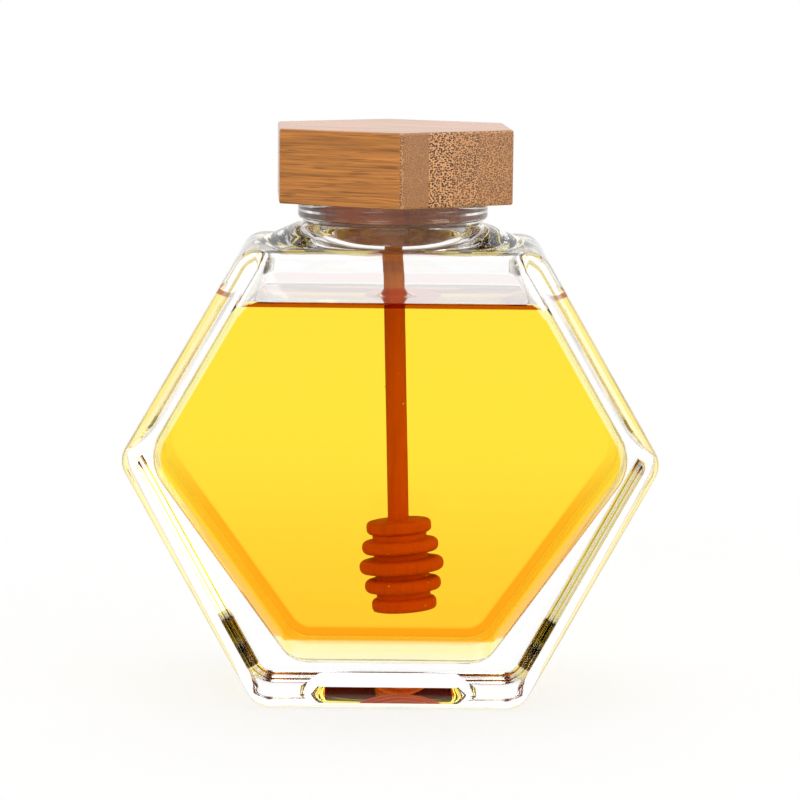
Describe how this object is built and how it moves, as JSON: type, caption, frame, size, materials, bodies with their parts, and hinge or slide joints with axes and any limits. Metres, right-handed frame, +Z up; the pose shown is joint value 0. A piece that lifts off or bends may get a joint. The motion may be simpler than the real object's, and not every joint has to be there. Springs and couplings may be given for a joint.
{
  "type": "honey jar",
  "caption": "Flat-sided hexagonal glass honey jar with honey inside, a hexagonal bamboo stopper lid with a seal ring, and a wooden honey dipper hanging in the honey.",
  "frame": {"origin": "under the middle of the jar, on the surface that it stands on", "axes": "+Z up through the lid; the flat hexagonal front faces -Y; the side corners of the hexagon point along X"},
  "size_m": [0.1182, 0.0594, 0.1281],
  "materials": {
    "jar_glass": "clear, polished, thick pressed glass",
    "honey": "clear golden honey, wet and glossy",
    "bamboo": "fine-sanded laminated bamboo, satin",
    "seal": "clear soft silicone, glossy",
    "dipper_wood": "turned beech, wet with honey below the level"
  },
  "bodies": {
    "root": {"jar_glass": "jar_glass", "honey": "honey", "bamboo_lid": "bamboo", "seal_ring": "seal", "dipper": "dipper_wood"}
  },
  "joints": []
}
